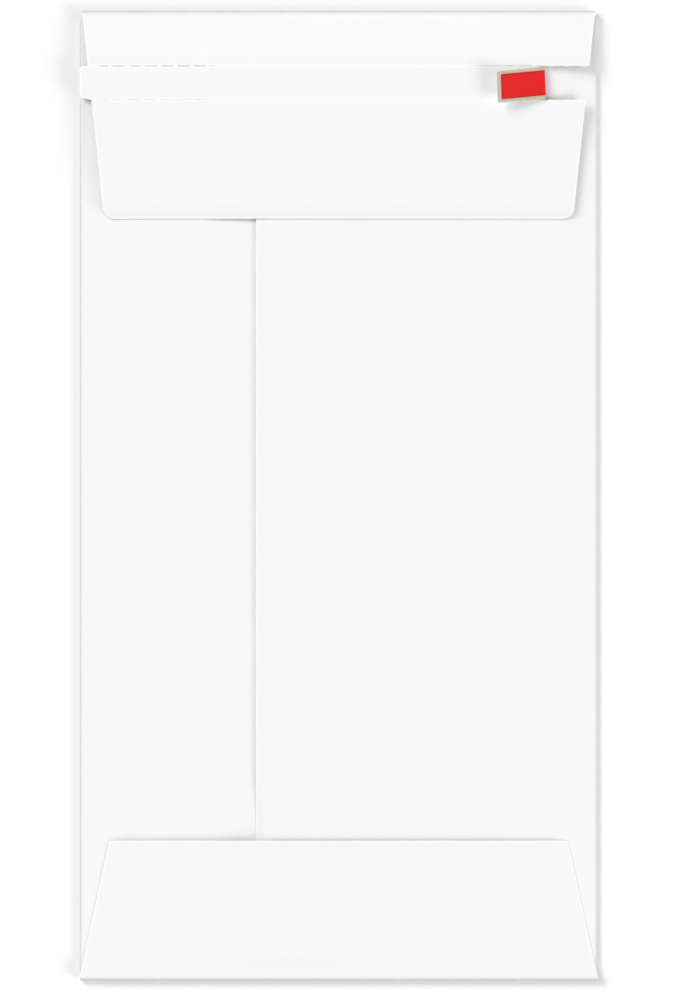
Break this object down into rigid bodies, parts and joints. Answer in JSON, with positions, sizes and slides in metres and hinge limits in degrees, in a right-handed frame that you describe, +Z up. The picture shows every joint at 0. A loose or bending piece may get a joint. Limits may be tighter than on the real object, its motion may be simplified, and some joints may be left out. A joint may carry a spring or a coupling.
{
  "type": "paperboard mailer",
  "caption": "Flat white paperboard mailer with a hinged closure flap, a perforated tear strip whose end is torn loose, a glued lengthwise seam and a glued bottom flap.",
  "frame": {"origin": "middle of the underside of the front panel, on the surface that the mailer lies on", "axes": "+X across the mailer's width towards the torn end of the tear strip, +Y along its length towards the closure flap's fold, +Z up out of the back with the flaps"},
  "size_m": [0.1016, 0.1906, 0.0086],
  "materials": {
    "board": "matte",
    "tape": "satin",
    "glue": "satin",
    "liner": "satin"
  },
  "bodies": {
    "mailer_body": {"front_panel": "board", "back_panel_narrow": "board", "back_panel_wide": "board", "seam_glue": "glue", "bottom_flap": "board", "bottom_flap_glue": "glue"},
    "closure_flap": {"closure_flap_upper": "board", "closure_flap_lower": "board", "seal_adhesive": "glue", "release_liner": "liner", "tear_strip_tab": "board", "tear_tape_tab": "tape"},
    "strip_run_1": {"tear_strip_1": "board", "tear_tape_1": "tape"},
    "strip_run_2": {"tear_strip_2": "board", "tear_tape_2": "tape"},
    "strip_run_3": {"tear_strip_3": "board", "tear_tape_3": "tape"},
    "strip_run_4": {"tear_strip_4": "board", "tear_tape_4": "tape"},
    "strip_run_5": {"tear_strip_5": "board", "tear_tape_5": "tape"},
    "torn_end": {"tear_strip_end": "board", "tear_tape_end": "tape"}
  },
  "joints": [
    {"name": "flap_hinge", "type": "hinge", "parent": "mailer_body", "child": "closure_flap", "pos_m": [0, 0.09398, 0.00223], "axis": [-1, 0, 0], "range_deg": [0, 155]},
    {"name": "strip_peel_1", "type": "hinge", "parent": "closure_flap", "child": "strip_run_1", "pos_m": [-0.04, 0.0811, 0.00445], "axis": [0, -1, 0], "range_deg": [0, 30]},
    {"name": "strip_peel_2", "type": "hinge", "parent": "strip_run_1", "child": "strip_run_2", "pos_m": [-0.024, 0.0811, 0.00647], "axis": [0, -1, 0], "range_deg": [0, 30]},
    {"name": "strip_peel_3", "type": "hinge", "parent": "strip_run_2", "child": "strip_run_3", "pos_m": [-0.008, 0.0811, 0.00747], "axis": [0, -1, 0], "range_deg": [0, 30]},
    {"name": "strip_peel_4", "type": "hinge", "parent": "strip_run_3", "child": "strip_run_4", "pos_m": [0.008, 0.0811, 0.00671], "axis": [0, -1, 0], "range_deg": [0, 30]},
    {"name": "strip_peel_5", "type": "hinge", "parent": "strip_run_4", "child": "strip_run_5", "pos_m": [0.024, 0.0811, 0.00624], "axis": [0, -1, 0], "range_deg": [0, 30]},
    {"name": "torn_end_fold", "type": "hinge", "parent": "strip_run_5", "child": "torn_end", "pos_m": [0.04, 0.0811, 0.00445], "axis": [0.048, -0.9988, 0], "range_deg": [-171, 5]}
  ],
  "couplings": [
    {"joint": "strip_peel_2", "follows": "strip_peel_1", "ratio": 1},
    {"joint": "strip_peel_3", "follows": "strip_peel_1", "ratio": 1},
    {"joint": "strip_peel_4", "follows": "strip_peel_1", "ratio": 1},
    {"joint": "strip_peel_5", "follows": "strip_peel_1", "ratio": 1}
  ]
}
